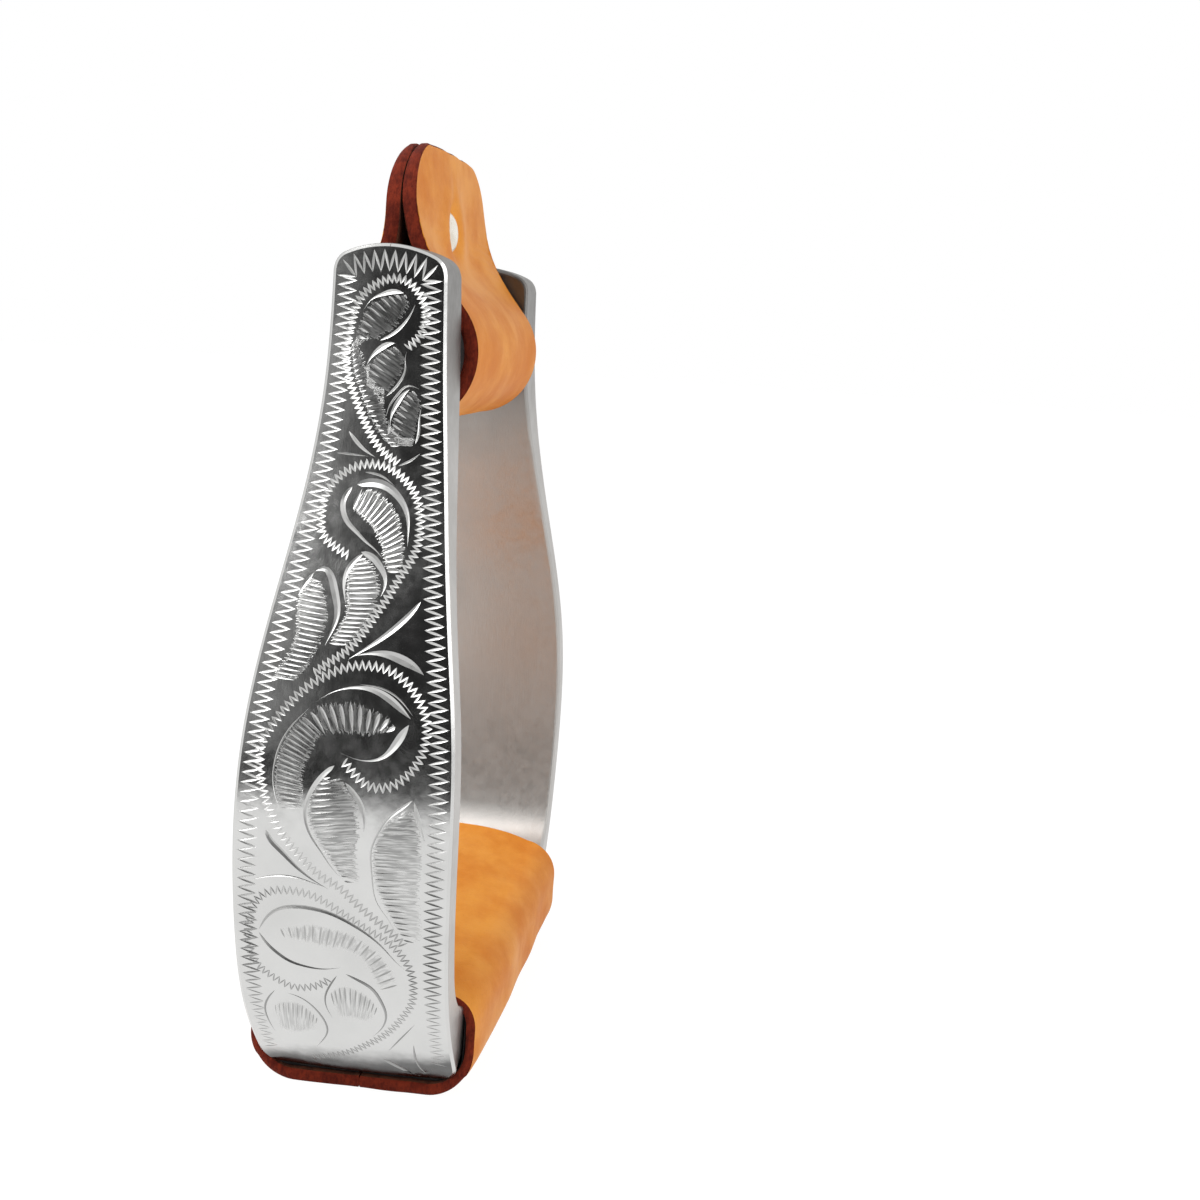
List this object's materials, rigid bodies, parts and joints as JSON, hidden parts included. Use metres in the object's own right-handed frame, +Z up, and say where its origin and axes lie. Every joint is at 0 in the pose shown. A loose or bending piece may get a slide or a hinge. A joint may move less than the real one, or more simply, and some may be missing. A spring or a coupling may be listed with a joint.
{
  "type": "western stirrup",
  "caption": "Western stirrup of cast metal with a flared bell shape, a leather-covered tread and a leather roll with an upright fin that turns on the neck bar.",
  "frame": {"origin": "middle of the bounding box's base, under the middle of the tread, on the surface that the stirrup stands on", "axes": "X runs from leg to leg, the engraved leg at -X; Y runs from the front, where the rivet's head shows, to the back; Z runs up from the tread to the neck"},
  "size_m": [0.1466, 0.0532, 0.2001],
  "materials": {
    "polished_aluminium": "cast, polished bright on the outer faces, satin on the sides and inside",
    "bar_steel": "plain drawn rod",
    "black_sleeve": "matte black",
    "tan_leather": "smooth tan leather with dark red-brown cut edges",
    "rivet_nickel": "satin nickel, slightly warm",
    "black_padding": "matte black",
    "waxed_thread": "waxed tan thread"
  },
  "bodies": {
    "stirrup": {"stirrup_frame": "polished_aluminium", "neck_bar": "bar_steel", "tread_pad": "black_padding", "tread_cover": "tan_leather", "tread_lacing": "waxed_thread"},
    "roll": {"bar_roller": "black_sleeve", "roll_cover": "tan_leather", "rivet_cap": "rivet_nickel", "rivet_back": "rivet_nickel"}
  },
  "joints": [
    {"name": "roll_turn", "type": "hinge", "parent": "stirrup", "child": "roll", "pos_m": [0, 0, 0.156], "axis": [1, 0, 0], "continuous": true}
  ]
}
